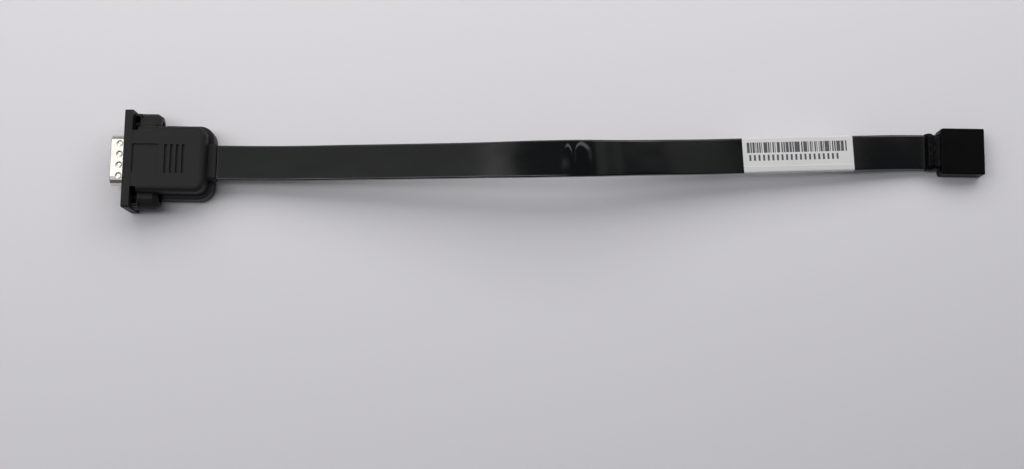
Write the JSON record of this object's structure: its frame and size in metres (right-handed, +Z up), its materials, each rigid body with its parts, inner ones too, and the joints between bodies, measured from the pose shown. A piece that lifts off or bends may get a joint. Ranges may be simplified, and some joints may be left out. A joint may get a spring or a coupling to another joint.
{
  "type": "serial port cable",
  "caption": "Short flat cable joining a D-shaped panel plug in a moulded hood to a pin-header socket.",
  "frame": {"origin": "middle of the box round the plug and the header socket, on the surface that both rest on", "axes": "+X along the cable from the plug's open end to the header socket, +Z up from the surface"},
  "size_m": [0.3024, 0.034, 0.0227],
  "materials": {
    "hood": "fine moulded black PVC",
    "premould": "milky natural plastic",
    "shell": "bright nickel-plated steel",
    "insulator": "black moulded plastic",
    "pin": "gold flash on brass",
    "nut": "blackened steel",
    "wire": "grey insulation",
    "ribbon": "grey ribbon insulation",
    "sleeve": "smooth half-gloss black sleeve",
    "label": "white printed film",
    "wrap": "black shrunk wrap",
    "contact": "tin-plated copper alloy",
    "header": "black moulded plastic"
  },
  "bodies": {
    "root": {"moulded_hood": "hood", "inner_mould": "premould", "front_shell": "shell", "rear_shell": "shell", "front_insulator": "insulator", "rear_insulator": "insulator", "contact_pin_1": "pin", "contact_pin_2": "pin", "contact_pin_3": "pin", "contact_pin_4": "pin", "contact_pin_5": "pin", "contact_pin_6": "pin", "contact_pin_7": "pin", "contact_pin_8": "pin", "contact_pin_9": "pin", "panel_nut_1": "nut", "panel_nut_2": "nut", "plug_wire_1": "wire", "plug_wire_2": "wire", "plug_wire_3": "wire", "plug_wire_4": "wire", "plug_wire_5": "wire", "plug_wire_6": "wire", "plug_wire_7": "wire", "plug_wire_8": "wire", "plug_wire_9": "wire", "ribbon_cable": "ribbon", "cable_sleeve": "sleeve", "cable_label": "label", "header_wrap": "wrap", "socket_wire_1": "wire", "socket_wire_2": "wire", "socket_wire_3": "wire", "socket_wire_4": "wire", "socket_wire_5": "wire", "socket_wire_6": "wire", "socket_wire_7": "wire", "socket_wire_8": "wire", "socket_wire_9": "wire", "socket_contact_1": "contact", "socket_contact_2": "contact", "socket_contact_3": "contact", "socket_contact_4": "contact", "socket_contact_5": "contact", "socket_contact_6": "contact", "socket_contact_7": "contact", "socket_contact_8": "contact", "socket_contact_9": "contact", "key_plug": "header", "header_housing": "header"}
  },
  "joints": []
}
